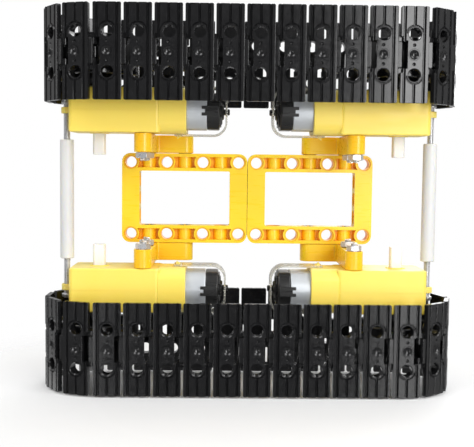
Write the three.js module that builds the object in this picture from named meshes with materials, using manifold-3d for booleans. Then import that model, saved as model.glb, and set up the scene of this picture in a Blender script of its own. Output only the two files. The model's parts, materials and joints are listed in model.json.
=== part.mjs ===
// Tracked tank chassis for robot kits: two link tracks on four toothed sprockets, four yellow
// gearmotors, and a deck of two open beam frames carried on four L-shaped brackets.
// Millimetres. Origin on the ground under the middle; +X forward, +Y left, +Z up.

import * as THREE from "three";
import { mergeVertices } from "three/addons/utils/BufferGeometryUtils.js";
import Module from "manifold-3d";

const wasm = await Module();
wasm.setup();

// ---------------------------------------------------------------- driving dimensions

// Beam system: everything yellow and flat sits on an 8 mm grid.
const GRID = 8;
const BEAM_THICKNESS = 7.8;
const BEAM_WIDTH = 7.4;
const BEAM_HOLE_RADIUS = 2.45;
const PIN_RADIUS = 2.2;
const PIN_CHAMFER = 0.5;
const CORNER_RADIUS = 3.7;
const DECK_GRIDS_ABOVE_AXLE = 3;

// Track: hinged links around a ten-tooth sprocket at each end.
const LINK_PITCH = 12.1;
const LINK_GAP = 0.9;
const LINK_PLATE = 2.0;
const TRACK_WIDTH = 38;
const TREAD_BELOW_PIVOT = 3.4;
const TONGUE_HALF_WIDTH = 5.1;
const TONGUE_GAP = 0.2;
const TONGUE_REACH = 7.35;
const CUTOUT_DEPTH = 2.55;
const TONGUE_RECESS = 0.5;
const HINGE_HALF_HEIGHT = 1.5;
const HINGE_INNER = 2.8;
const HINGE_OUTER = 7.3;
const RUN_LINKS = 10;
const FRONT_LINKS = 6;
const REAR_LINKS = 5;
const TRACK_CENTRE_Y = 59.4;

// Sprocket: one row of teeth in the middle of a drum.
const SPROCKET_TEETH = 10;
const TOOTH_TIP_RADIUS = 19.2;
const TOOTH_ROOT_RADIUS = 16.2;
const TOOTH_WIDTH = 4.6;
const TOOTH_ROOT_HALF_SHARE = 0.3;
const TOOTH_TIP_HALF_SHARE = 0.14;
const DRUM_RADIUS = 16.6;
const DRUM_WALL = 2.4;
const DRUM_WIDTH = 16;
const HUB_RADIUS = 5.6;
const HUB_LENGTH = 15;
const HUB_START_Y = 47.4;
const WHEEL_HOLES = 6;
const WHEEL_HOLE_CIRCLE = 9.9;

// Gearmotor. Lengths along X are counted from the output shaft.
const GEARBOX_HEIGHT = 22.5;
const GEARBOX_OUTBOARD = 11.3;
const GEARBOX_INBOARD = 25.2;
const GEARBOX_THICKNESS = 18.4;
const GEARBOX_WALL = 1.6;
const SLEEVE_LENGTH = 11.7;
const SLEEVE_THICKNESS = 18.8;
const TAB_REACH = 16;
const TAB_HOLE_REACH = 13.65;
const TAB_HEIGHT = 5;
const TAB_THICKNESS = 2.6;
const CASING_CORNER_RADIUS = 1.5;
const GEAR_SPACE_INBOARD = 14;
const PINION_HOLE_RADIUS = 3.4;
const CAN_RADIUS = 10.05;
const CAN_ACROSS_FLATS = 15.1;
const CAN_SHOWING = 8.4;
const CAP_LENGTH = 5.2;
const CAP_BOSS_LENGTH = 2.3;
const CAP_BOSS_RADIUS = 3;
const CAP_STEP = 0.2;
const MOTOR_STUB_RADIUS = 1;
const MOTOR_STUB_INBOARD = 16;
const SHAFT_RADIUS = 2.7;
const SHAFT_ACROSS_FLATS = 3.7;
const SHAFT_INNER_Y = 18.9;
const SHAFT_OUTER_Y = 55.7;
const OUTPUT_GEAR_RADIUS = 8.2;
const OUTPUT_GEAR_WIDTH = 5;
const OUTPUT_GEAR_FROM_CASING = 3;

// Fasteners.
const M3_RADIUS = 1.45;
const M3_CLEARANCE_RADIUS = 1.7;
const MOTOR_SCREW_INBOARD = 19.2;
const MOTOR_SCREW_HALF_SPACING = 8.65;
const MOTOR_SCREW_LENGTH = 30;
const PAN_HEAD_RADIUS = 2.75;
const PAN_HEAD_HEIGHT = 1.9;
const PAN_HEAD_CROWN_HEIGHT = 0.6;
const PAN_HEAD_CROWN_SHARE = 0.7;
const NUT_ACROSS_FLATS = 5.5;
const NUT_HEIGHT = 2.4;
const SPACER_SCREW_LENGTH = 30;
const SPACER_HEAD_RADIUS = 2.3;
const SPACER_HEAD_GAP = 1.6;
const SPACER_LENGTH = 50;
const SPACER_RADIUS = 2.9;

// Motor strap: a bent band round the end cap.
const STRAP_THICKNESS = 0.8;
const STRAP_WIDTH = 9;
const STRAP_REACH = 5.2;
const STRAP_CHAMFER = [2.8, 4.2];

// Clearance between pieces that touch, inside bores, round the motor, and round the turning shaft.
const CONTACT_GAP = 0.1;
const BORE_GAP = 0.2;
const MOTOR_GAP = 0.3;
const RUNNING_GAP = 0.35;

// How far a cutter runs past what it cuts, and how far joined parts run into each other.
const OVERRUN = 1;
const OVERLAP = 0.5;

// Facets of round shapes.
const HOLE_FACETS = 8;
const SHAFT_FACETS = 12;
const BODY_FACETS = 16;

// ---------------------------------------------------------------- derived places

const PIVOT_RADIUS = LINK_PITCH / (2 * Math.sin(Math.PI / SPROCKET_TEETH));
const AXLE_Z = PIVOT_RADIUS + TREAD_BELOW_PIVOT;
const DECK_Z = AXLE_Z + DECK_GRIDS_ABOVE_AXLE * GRID;
const FRONT_HALF_STEP = frontHalfStep();
const FRONT_RADIUS = LINK_PITCH / (2 * Math.sin(FRONT_HALF_STEP));
const FRONT_OVERHANG = -FRONT_RADIUS * Math.cos(FRONT_LINKS * FRONT_HALF_STEP);
const AXLE_X = (RUN_LINKS * LINK_PITCH + FRONT_OVERHANG) / 2;

const FRAME_CENTRE_X = 3.5 * GRID;
const FRAME_LENGTH = 7 * GRID - (GRID - BEAM_THICKNESS);
const FRAME_WIDTH = 5 * GRID - (GRID - BEAM_THICKNESS);
const SIDE_ROW_Y = 2 * GRID;
const BRACKET_Y = 3 * GRID;
const BRACKET_LEG_X = 5.5 * GRID;
const BRACKET_INNER_Y = BRACKET_Y - BEAM_THICKNESS / 2;
const BRACKET_OUTER_Y = BRACKET_Y + BEAM_THICKNESS / 2;

const GEARBOX_INNER_Y = BRACKET_OUTER_Y + CONTACT_GAP;
const GEARBOX_MID_Y = GEARBOX_INNER_Y + GEARBOX_THICKNESS / 2;
const GEARBOX_OUTER_Y = GEARBOX_INNER_Y + GEARBOX_THICKNESS;
const SLEEVE_START_X = AXLE_X - GEARBOX_INBOARD;
const SLEEVE_END_X = SLEEVE_START_X - SLEEVE_LENGTH;
const CAN_END_X = SLEEVE_END_X - CAN_SHOWING;
const CAP_END_X = CAN_END_X - CAP_LENGTH;
const MOTOR_SCREW_X = AXLE_X - MOTOR_SCREW_INBOARD;
const SPACER_X = AXLE_X + TAB_HOLE_REACH;

// The front bend takes one link more than the rear one, between the same two runs. Half the angle
// that one link turns through there comes from halving an interval until it closes.
function frontHalfStep() {
  let low = Math.PI / (4 * FRONT_LINKS);
  let high = Math.PI / (FRONT_LINKS + 2);
  const wanted = 1 / Math.sin(Math.PI / SPROCKET_TEETH);
  for (let i = 0; i < 60; i += 1) {
    const middle = (low + high) / 2;
    const reach = Math.sin(FRONT_LINKS * middle) / Math.sin(middle);
    if (reach > wanted) low = middle;
    else high = middle;
  }
  return (low + high) / 2;
}

// ---------------------------------------------------------------- materials

const plastic = (color, roughness) => new THREE.MeshStandardMaterial({ color, roughness, metalness: 0 });
const metal = (color, roughness) => new THREE.MeshStandardMaterial({ color, roughness, metalness: 1 });

const beamYellow = () => plastic(0xfbd32c, 0.35);
const gearboxYellow = () => plastic(0xf6e67c, 0.4);
const trackBlack = () => plastic(0x1d1d1e, 0.35);
const pinBlack = () => plastic(0x161617, 0.4);
const shaftWhite = () => plastic(0xf1f1ee, 0.45);
const spacerWhite = () => plastic(0xf4f4f2, 0.5);
const canSteel = () => metal(0xa9b0b5, 0.35);
const screwChrome = () => metal(0xc9cbce, 0.2);
const strapClear = () =>
  new THREE.MeshStandardMaterial({ color: 0xeeead6, roughness: 0.15, transparent: true, opacity: 0.4 });

// ---------------------------------------------------------------- solids

// A closed three.js geometry as a solid that can be joined and cut.
function toSolid(geometry) {
  const bare = geometry.clone();
  bare.deleteAttribute("normal");
  bare.deleteAttribute("uv");
  const merged = mergeVertices(bare, 1e-4);
  return new wasm.Manifold(
    new wasm.Mesh({
      numProp: 3,
      vertProperties: merged.getAttribute("position").array,
      triVerts: new Uint32Array(merged.index.array),
    }),
  );
}

// A solid as a three.js geometry.
function toGeometry(solid) {
  const { vertProperties, triVerts } = solid.getMesh();
  const geometry = new THREE.BufferGeometry();
  geometry.setAttribute("position", new THREE.BufferAttribute(vertProperties, 3));
  geometry.setIndex(new THREE.BufferAttribute(triVerts, 1));
  geometry.computeVertexNormals();
  return geometry;
}

const joined = (solids) => solids.reduce((whole, next) => whole.add(next));
const cut = (solid, cutters) => cutters.reduce((rest, next) => rest.subtract(next), solid);

// A box between two values on each axis.
function block([x0, x1], [y0, y1], [z0, z1]) {
  const box = new THREE.BoxGeometry(x1 - x0, y1 - y0, z1 - z0);
  return toSolid(box.translate((x0 + x1) / 2, (y0 + y1) / 2, (z0 + z1) / 2));
}

// Turns a shape made along +Y so that it runs along the named axis.
function alongAxis(geometry, axis) {
  if (axis === "x") return geometry.rotateZ(-Math.PI / 2);
  if (axis === "z") return geometry.rotateX(Math.PI / 2);
  return geometry;
}

// A round rod along an axis. The facets are turned so that flats face the other two axes.
function rod(axis, radius, [start, end], [a, b], facets = HOLE_FACETS) {
  const turn = Math.PI / facets;
  const cylinder = new THREE.CylinderGeometry(radius, radius, end - start, facets, 1, false, turn);
  alongAxis(cylinder, axis);
  const middle = (start + end) / 2;
  if (axis === "x") cylinder.translate(middle, a, b);
  if (axis === "y") cylinder.translate(a, middle, b);
  if (axis === "z") cylinder.translate(a, b, middle);
  return toSolid(cylinder);
}

// A flat shape drawn in X and Z, as thick as the given stretch of Y.
function slabAcrossY(shape, [y0, y1], curveSegments) {
  const slab = new THREE.ExtrudeGeometry(shape, { depth: y1 - y0, bevelEnabled: false, curveSegments });
  return toSolid(slab.rotateX(Math.PI / 2).translate(0, y1, 0));
}

// A flat shape drawn in X and Y, as thick as the given stretch of Z.
function slabAcrossZ(shape, [z0, z1], curveSegments) {
  const slab = new THREE.ExtrudeGeometry(shape, { depth: z1 - z0, bevelEnabled: false, curveSegments });
  return toSolid(slab.translate(0, 0, z0));
}

// A round hole in a shape, as a polygon with the usual number of facets.
function holeAt(x, y, radius, facets = HOLE_FACETS) {
  const hole = new THREE.Path();
  for (let i = 0; i < facets; i += 1) {
    const angle = (2 * Math.PI * (i + 0.5)) / facets;
    const point = [x + radius * Math.cos(angle), y + radius * Math.sin(angle)];
    if (i === 0) hole.moveTo(...point);
    else hole.lineTo(...point);
  }
  hole.closePath();
  return hole;
}

function roundedRectangle(x0, y0, x1, y1, radius) {
  const shape = new THREE.Shape();
  shape.moveTo(x0 + radius, y0);
  shape.lineTo(x1 - radius, y0);
  shape.absarc(x1 - radius, y0 + radius, radius, -Math.PI / 2, 0, false);
  shape.lineTo(x1, y1 - radius);
  shape.absarc(x1 - radius, y1 - radius, radius, 0, Math.PI / 2, false);
  shape.lineTo(x0 + radius, y1);
  shape.absarc(x0 + radius, y1 - radius, radius, Math.PI / 2, Math.PI, false);
  shape.lineTo(x0, y0 + radius);
  shape.absarc(x0 + radius, y0 + radius, radius, Math.PI, 1.5 * Math.PI, false);
  return shape;
}

// ---------------------------------------------------------------- deck

// An open frame, five by seven holes. Upright holes alternate with cross holes along the long
// sides, and the short sides have three lengthwise holes each.
function deckFrame(centreX) {
  const low = [centreX - FRAME_LENGTH / 2, -FRAME_WIDTH / 2];
  const high = [centreX + FRAME_LENGTH / 2, FRAME_WIDTH / 2];
  const shape = roundedRectangle(...low, ...high, CORNER_RADIUS);
  const window = new THREE.Path();
  window.moveTo(low[0] + BEAM_THICKNESS, low[1] + BEAM_THICKNESS);
  window.lineTo(low[0] + BEAM_THICKNESS, high[1] - BEAM_THICKNESS);
  window.lineTo(high[0] - BEAM_THICKNESS, high[1] - BEAM_THICKNESS);
  window.lineTo(high[0] - BEAM_THICKNESS, low[1] + BEAM_THICKNESS);
  window.closePath();
  shape.holes.push(window);
  for (const column of [-3, -1, 1, 3]) {
    for (const side of [-1, 1]) {
      shape.holes.push(holeAt(centreX + column * GRID, side * SIDE_ROW_Y, BEAM_HOLE_RADIUS));
    }
  }
  const half = BEAM_THICKNESS / 2;
  const plate = slabAcrossZ(shape, [DECK_Z - half, DECK_Z + half], 3);
  const crossHoles = [-2, 0, 2].map((column) =>
    rod("y", BEAM_HOLE_RADIUS, [-FRAME_WIDTH, FRAME_WIDTH], [centreX + column * GRID, DECK_Z]),
  );
  const lengthHoles = [-1, 0, 1].map((row) =>
    rod("x", BEAM_HOLE_RADIUS, [centreX - FRAME_LENGTH, centreX + FRAME_LENGTH], [row * GRID, DECK_Z]),
  );
  return cut(plate, [...crossHoles, ...lengthHoles]);
}

// A friction pin with chamfered ends, along the named axis.
function frictionPin(axis, [start, end], place) {
  const body = rod(axis, PIN_RADIUS, [start + PIN_CHAMFER, end - PIN_CHAMFER], place);
  const core = rod(axis, PIN_RADIUS - PIN_CHAMFER, [start, end], place);
  return body.add(core);
}

// Bolted upright to a gearbox and pinned to the deck: five holes down, three holes inwards.
function bracket() {
  const half = BEAM_WIDTH / 2;
  const downHoles = 5;
  const inwardHoles = 3;
  const endX = BRACKET_LEG_X - (inwardHoles - 1) * GRID;
  const footZ = DECK_Z - (downHoles - 1) * GRID;
  const shape = new THREE.Shape();
  shape.moveTo(BRACKET_LEG_X - half, DECK_Z - half);
  shape.lineTo(BRACKET_LEG_X - half, footZ);
  shape.absarc(BRACKET_LEG_X, footZ, half, Math.PI, 2 * Math.PI, false);
  shape.lineTo(BRACKET_LEG_X + half, DECK_Z);
  shape.absarc(BRACKET_LEG_X, DECK_Z, half, 0, Math.PI / 2, false);
  shape.lineTo(endX, DECK_Z + half);
  shape.absarc(endX, DECK_Z, half, Math.PI / 2, 1.5 * Math.PI, false);
  for (let i = 0; i < downHoles; i += 1) {
    shape.holes.push(holeAt(BRACKET_LEG_X, DECK_Z - i * GRID, BEAM_HOLE_RADIUS));
  }
  for (let i = 1; i < inwardHoles; i += 1) {
    shape.holes.push(holeAt(BRACKET_LEG_X - i * GRID, DECK_Z, BEAM_HOLE_RADIUS));
  }
  return slabAcrossY(shape, [BRACKET_INNER_Y, BRACKET_OUTER_Y], 6);
}

// ---------------------------------------------------------------- gearmotor

// A round bar with two flats facing +Y and -Y, along X.
function flattenedBar(radius, acrossFlats, [start, end]) {
  const bar = rod("x", radius, [start, end], [GEARBOX_MID_Y, AXLE_Z], BODY_FACETS);
  const flats = [GEARBOX_MID_Y - acrossFlats / 2, GEARBOX_MID_Y + acrossFlats / 2];
  return bar.intersect(block([start, end], flats, [AXLE_Z - radius, AXLE_Z + radius]));
}

// The heights of the two screws that hold the gearbox to its bracket, the upper one first.
function motorScrewHeights() {
  return [AXLE_Z + MOTOR_SCREW_HALF_SPACING, AXLE_Z - MOTOR_SCREW_HALF_SPACING];
}

// The gearbox casing: a hollow block over the output shaft, a sleeve that holds the motor, and a
// flat tab at the far end. The gear space opens to the shaft holes and to the sleeve.
function gearboxCasing() {
  const low = AXLE_Z - GEARBOX_HEIGHT / 2;
  const high = AXLE_Z + GEARBOX_HEIGHT / 2;
  const endX = AXLE_X + GEARBOX_OUTBOARD;
  const sleeveY = [GEARBOX_MID_Y - SLEEVE_THICKNESS / 2, GEARBOX_MID_Y + SLEEVE_THICKNESS / 2];
  const shape = roundedRectangle(SLEEVE_START_X, low, endX, high, CASING_CORNER_RADIUS);
  const casing = slabAcrossY(shape, [GEARBOX_INNER_Y, GEARBOX_OUTER_Y], 2);
  const sleeveReach = [SLEEVE_END_X, SLEEVE_START_X + CASING_CORNER_RADIUS + OVERLAP];
  const sleeve = block(sleeveReach, sleeveY, [low, high]);
  const tab = block(
    [endX - OVERLAP, AXLE_X + TAB_REACH],
    [GEARBOX_MID_Y - TAB_THICKNESS / 2, GEARBOX_MID_Y + TAB_THICKNESS / 2],
    [AXLE_Z - TAB_HEIGHT / 2, AXLE_Z + TAB_HEIGHT / 2],
  );
  const wall = GEARBOX_WALL;
  const acrossY = [GEARBOX_INNER_Y - OVERRUN, GEARBOX_OUTER_Y + OVERRUN];
  const gearSpace = block(
    [AXLE_X - GEAR_SPACE_INBOARD, endX - wall],
    [GEARBOX_INNER_Y + wall, GEARBOX_OUTER_Y - wall],
    [low + wall, high - wall],
  );
  const shaftHole = rod("y", SHAFT_RADIUS + RUNNING_GAP, acrossY, [AXLE_X, AXLE_Z]);
  const pinionReach = [SLEEVE_START_X - OVERRUN, AXLE_X - GEAR_SPACE_INBOARD + OVERRUN];
  const pinionHole = rod("x", PINION_HOLE_RADIUS, pinionReach, [GEARBOX_MID_Y, AXLE_Z]);
  const motorReach = [SLEEVE_END_X - OVERRUN, SLEEVE_START_X];
  const motorHole = flattenedBar(CAN_RADIUS + MOTOR_GAP, CAN_ACROSS_FLATS + MOTOR_GAP, motorReach);
  const tabHole = rod("y", M3_CLEARANCE_RADIUS, acrossY, [SPACER_X, AXLE_Z]);
  const screwHoles = motorScrewHeights().map((z) =>
    rod("y", M3_CLEARANCE_RADIUS, acrossY, [MOTOR_SCREW_X, z]),
  );
  return cut(joined([casing, sleeve, tab]), [
    gearSpace,
    shaftHole,
    pinionHole,
    motorHole,
    tabHole,
    ...screwHoles,
  ]);
}

// The motor: a steel can with two flats, its end cap and bearing boss, and its shaft stub.
function motor() {
  const canStart = SLEEVE_START_X - CONTACT_GAP;
  const can = flattenedBar(CAN_RADIUS, CAN_ACROSS_FLATS, [CAN_END_X, canStart]);
  const capReach = [CAP_END_X, CAN_END_X + OVERLAP];
  const cap = flattenedBar(CAN_RADIUS - CAP_STEP, CAN_ACROSS_FLATS - CAP_STEP, capReach);
  const axis = [GEARBOX_MID_Y, AXLE_Z];
  const bossReach = [CAP_END_X - CAP_BOSS_LENGTH, CAP_END_X + OVERLAP];
  const boss = rod("x", CAP_BOSS_RADIUS, bossReach, axis);
  const stub = rod("x", MOTOR_STUB_RADIUS, [canStart - OVERLAP, AXLE_X - MOTOR_STUB_INBOARD], axis);
  return joined([can, cap, boss, stub]);
}

// The strap: a flat band bent into a U with cut corners, hooked on both faces of the sleeve.
function motorStrap() {
  const [chamferX, chamferY] = STRAP_CHAMFER;
  const startX = SLEEVE_END_X + STRAP_REACH;
  const band = (inset) => {
    const halfY = SLEEVE_THICKNESS / 2 + CONTACT_GAP + STRAP_THICKNESS - inset;
    const farX = CAP_END_X - CAP_BOSS_LENGTH - CONTACT_GAP - STRAP_THICKNESS + inset;
    const corner = inset * (Math.SQRT2 - 1);
    return [
      [startX, halfY],
      [farX + chamferX - corner / 2, halfY],
      [farX, halfY - chamferY + corner / 2],
      [farX, chamferY - halfY - corner / 2],
      [farX + chamferX - corner / 2, -halfY],
      [startX, -halfY],
    ];
  };
  const outline = [...band(0), ...band(STRAP_THICKNESS).reverse()];
  const shape = new THREE.Shape(outline.map(([x, y]) => new THREE.Vector2(x, GEARBOX_MID_Y + y)));
  return slabAcrossZ(shape, [AXLE_Z - STRAP_WIDTH / 2, AXLE_Z + STRAP_WIDTH / 2], 1);
}

// The output shaft: double-D ends, a round middle that runs in the casing, and the output gear.
function driveShaft() {
  const centre = [AXLE_X, AXLE_Z];
  const round = rod("y", SHAFT_RADIUS, [SHAFT_INNER_Y, SHAFT_OUTER_Y], centre, SHAFT_FACETS);
  const flat = block(
    [AXLE_X - SHAFT_RADIUS, AXLE_X + SHAFT_RADIUS],
    [SHAFT_INNER_Y, SHAFT_OUTER_Y],
    [AXLE_Z - SHAFT_ACROSS_FLATS / 2, AXLE_Z + SHAFT_ACROSS_FLATS / 2],
  );
  const journal = rod("y", SHAFT_RADIUS, [GEARBOX_INNER_Y, GEARBOX_OUTER_Y], centre, SHAFT_FACETS);
  const gearStart = GEARBOX_INNER_Y + OUTPUT_GEAR_FROM_CASING;
  const gearReach = [gearStart, gearStart + OUTPUT_GEAR_WIDTH];
  const gear = rod("y", OUTPUT_GEAR_RADIUS, gearReach, centre, BODY_FACETS);
  return joined([round.intersect(flat), journal, gear]);
}

// ---------------------------------------------------------------- sprocket

// The side view of the toothed disc: straight-sided teeth with cut tips, and six round holes.
function toothedDisc() {
  const shape = new THREE.Shape();
  const step = (2 * Math.PI) / SPROCKET_TEETH;
  for (let i = 0; i < SPROCKET_TEETH; i += 1) {
    const middle = (i + 0.5) * step;
    for (const [radius, share] of [
      [TOOTH_ROOT_RADIUS, -TOOTH_ROOT_HALF_SHARE],
      [TOOTH_TIP_RADIUS, -TOOTH_TIP_HALF_SHARE],
      [TOOTH_TIP_RADIUS, TOOTH_TIP_HALF_SHARE],
      [TOOTH_ROOT_RADIUS, TOOTH_ROOT_HALF_SHARE],
    ]) {
      const angle = middle + share * step;
      const point = [AXLE_X + radius * Math.cos(angle), AXLE_Z + radius * Math.sin(angle)];
      if (i === 0 && share === -TOOTH_ROOT_HALF_SHARE) shape.moveTo(...point);
      else shape.lineTo(...point);
    }
  }
  shape.closePath();
  for (let i = 0; i < WHEEL_HOLES; i += 1) {
    const angle = (2 * Math.PI * i) / WHEEL_HOLES;
    const x = AXLE_X + WHEEL_HOLE_CIRCLE * Math.cos(angle);
    const z = AXLE_Z + WHEEL_HOLE_CIRCLE * Math.sin(angle);
    shape.holes.push(holeAt(x, z, BEAM_HOLE_RADIUS));
  }
  return shape;
}

// A drive wheel: the toothed disc inside a drum, on a hub with a double-D bore.
function sprocket() {
  const centre = [AXLE_X, AXLE_Z];
  const across = (width) => [TRACK_CENTRE_Y - width / 2, TRACK_CENTRE_Y + width / 2];
  const disc = slabAcrossY(toothedDisc(), across(TOOTH_WIDTH), 1);
  const drum = rod("y", DRUM_RADIUS, across(DRUM_WIDTH), centre, BODY_FACETS);
  const hollowWidth = DRUM_WIDTH + 2 * OVERRUN;
  const hollow = rod("y", DRUM_RADIUS - DRUM_WALL, across(hollowWidth), centre, BODY_FACETS);
  const hub = rod("y", HUB_RADIUS, [HUB_START_Y, HUB_START_Y + HUB_LENGTH], centre, SHAFT_FACETS);
  const boreReach = [HUB_START_Y - OVERRUN, HUB_START_Y + HUB_LENGTH + OVERRUN];
  const boreRound = rod("y", SHAFT_RADIUS + BORE_GAP, boreReach, centre, SHAFT_FACETS);
  const halfFlat = SHAFT_ACROSS_FLATS / 2 + BORE_GAP;
  const boreFlat = block(
    [AXLE_X - HUB_RADIUS, AXLE_X + HUB_RADIUS],
    boreReach,
    [AXLE_Z - halfFlat, AXLE_Z + halfFlat],
  );
  const wheel = joined([disc, drum.subtract(hollow), hub]);
  return wheel.subtract(boreRound.intersect(boreFlat));
}

// ---------------------------------------------------------------- track

// The hinge centres of the loop, in X and Z, starting at the bottom under the rear sprocket and
// going forward along the ground.
function trackPivots() {
  const pivots = [];
  const groundZ = AXLE_Z - PIVOT_RADIUS;
  const topZ = AXLE_Z + PIVOT_RADIUS;
  for (let i = 0; i < RUN_LINKS; i += 1) {
    pivots.push(new THREE.Vector2(-AXLE_X + i * LINK_PITCH, groundZ));
  }
  for (let i = 0; i < FRONT_LINKS; i += 1) {
    const angle = (2 * i - FRONT_LINKS) * FRONT_HALF_STEP;
    const x = AXLE_X + FRONT_RADIUS * Math.cos(angle);
    pivots.push(new THREE.Vector2(x, AXLE_Z + FRONT_RADIUS * Math.sin(angle)));
  }
  for (let i = 0; i < RUN_LINKS; i += 1) {
    const x = AXLE_X - FRONT_OVERHANG - i * LINK_PITCH;
    pivots.push(new THREE.Vector2(x, topZ));
  }
  for (let i = 0; i < REAR_LINKS; i += 1) {
    const angle = Math.PI / 2 + (Math.PI * i) / REAR_LINKS;
    const x = -AXLE_X + PIVOT_RADIUS * Math.cos(angle);
    pivots.push(new THREE.Vector2(x, AXLE_Z + PIVOT_RADIUS * Math.sin(angle)));
  }
  return pivots;
}

// The plate of one link, lying flat with its outer face down: the middle of its two hinges is the
// origin, and its tongue points along +X. The plate has a cut-out for the next link's tongue, and
// the tongue is set back a little from the tread face.
function linkPlate() {
  const half = (LINK_PITCH - LINK_GAP) / 2;
  const side = TRACK_WIDTH / 2;
  const outer = -TREAD_BELOW_PIVOT;
  const inner = outer + LINK_PLATE;
  const notch = TONGUE_HALF_WIDTH + TONGUE_GAP;
  const outline = [
    [half, -side],
    [half, side],
    [-half, side],
    [-half, notch],
    [CUTOUT_DEPTH - half, notch],
    [CUTOUT_DEPTH - half, -notch],
    [-half, -notch],
    [-half, -side],
  ];
  const shape = new THREE.Shape(outline.map(([x, y]) => new THREE.Vector2(x, y)));
  const plate = slabAcrossZ(shape, [outer, inner], 1);
  const acrossTongue = [-TONGUE_HALF_WIDTH, TONGUE_HALF_WIDTH];
  const tongue = block([half - OVERLAP, TONGUE_REACH], acrossTongue, [outer + TONGUE_RECESS, inner]);
  return toGeometry(plate.add(tongue));
}

// One of the two rows of hinges, as a closed band through all the hinge centres. The channel
// between the two rows leaves room for the sprocket teeth.
function hingeRow(pivots, [y0, y1]) {
  const offset = (distance) =>
    pivots.map((pivot, i) => {
      const before = pivots[(i + pivots.length - 1) % pivots.length];
      const after = pivots[(i + 1) % pivots.length];
      const along = after.clone().sub(before).normalize();
      return new THREE.Vector2(pivot.x + along.y * distance, pivot.y - along.x * distance);
    });
  const shape = new THREE.Shape(offset(HINGE_HALF_HEIGHT));
  shape.holes.push(new THREE.Path(offset(-HINGE_HALF_HEIGHT)));
  return slabAcrossY(shape, [y0, y1], 1);
}

// The whole loop on one side. Its links are hinged to each other on the real chassis; here they
// are joined at the hinges into one closed band.
function track(centreY, tonguesForwardOnGround) {
  const pivots = trackPivots();
  const plate = linkPlate();
  if (!tonguesForwardOnGround) plate.rotateZ(Math.PI);
  const plates = pivots.map((start, i) => {
    const end = pivots[(i + 1) % pivots.length];
    const along = end.clone().sub(start);
    const placed = plate.clone().rotateY(-Math.atan2(along.y, along.x));
    return toSolid(placed.translate((start.x + end.x) / 2, centreY, (start.y + end.y) / 2));
  });
  const rows = [
    hingeRow(pivots, [centreY - HINGE_OUTER, centreY - HINGE_INNER]),
    hingeRow(pivots, [centreY + HINGE_INNER, centreY + HINGE_OUTER]),
  ];
  return joined([...rows, ...plates]);
}

// ---------------------------------------------------------------- fasteners

// A pan-head screw along Y with its head at the outer end.
function panHeadScrew([x, z], headY, length, headRadius) {
  const top = headY + PAN_HEAD_HEIGHT;
  const head = rod("y", headRadius, [headY, top - PAN_HEAD_CROWN_HEIGHT], [x, z]);
  const crown = rod("y", headRadius * PAN_HEAD_CROWN_SHARE, [headY, top], [x, z]);
  const shank = rod("y", M3_RADIUS, [headY - length, headY + OVERLAP], [x, z]);
  return joined([head, crown, shank]);
}

// A hex nut along Y, against the inner face of the bracket.
function hexNut(x, z) {
  const radius = NUT_ACROSS_FLATS / Math.sqrt(3);
  const shape = new THREE.Shape();
  for (let i = 0; i < 6; i += 1) {
    const angle = (Math.PI * i) / 3;
    const point = [x + radius * Math.cos(angle), z + radius * Math.sin(angle)];
    if (i === 0) shape.moveTo(...point);
    else shape.lineTo(...point);
  }
  shape.closePath();
  shape.holes.push(holeAt(x, z, M3_CLEARANCE_RADIUS));
  const outer = BRACKET_INNER_Y - CONTACT_GAP;
  return slabAcrossY(shape, [outer - NUT_HEIGHT, outer], 1);
}

// The plastic tube between the two gearbox tabs at one end of the chassis.
function spacerTube(x) {
  const across = [-SPACER_LENGTH / 2, SPACER_LENGTH / 2];
  const boreReach = [across[0] - OVERRUN, across[1] + OVERRUN];
  const tube = rod("y", SPACER_RADIUS, across, [x, AXLE_Z], BODY_FACETS);
  const bore = rod("y", M3_CLEARANCE_RADIUS, boreReach, [x, AXLE_Z]);
  return tube.subtract(bore);
}

// ---------------------------------------------------------------- assembly

const chassis = new THREE.Group();

function addPiece(parent, name, solid, material) {
  const mesh = new THREE.Mesh(toGeometry(solid), material);
  mesh.name = name;
  parent.add(mesh);
}

function addDeck() {
  const end = BEAM_THICKNESS;
  addPiece(chassis, "deck_frame_front", deckFrame(FRAME_CENTRE_X), beamYellow());
  addPiece(chassis, "deck_frame_rear", deckFrame(-FRAME_CENTRE_X), beamYellow());
  addPiece(chassis, "deck_pin_left", frictionPin("x", [-end, end], [GRID, DECK_Z]), pinBlack());
  addPiece(chassis, "deck_pin_right", frictionPin("x", [-end, end], [-GRID, DECK_Z]), pinBlack());
}

function addTracks() {
  addPiece(chassis, "track_left", track(TRACK_CENTRE_Y, false), trackBlack());
  addPiece(chassis, "track_right", track(-TRACK_CENTRE_Y, true), trackBlack());
}

function addSpacers() {
  addPiece(chassis, "spacer_tube_front", spacerTube(SPACER_X), spacerWhite());
  addPiece(chassis, "spacer_tube_rear", spacerTube(-SPACER_X), spacerWhite());
}

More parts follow.
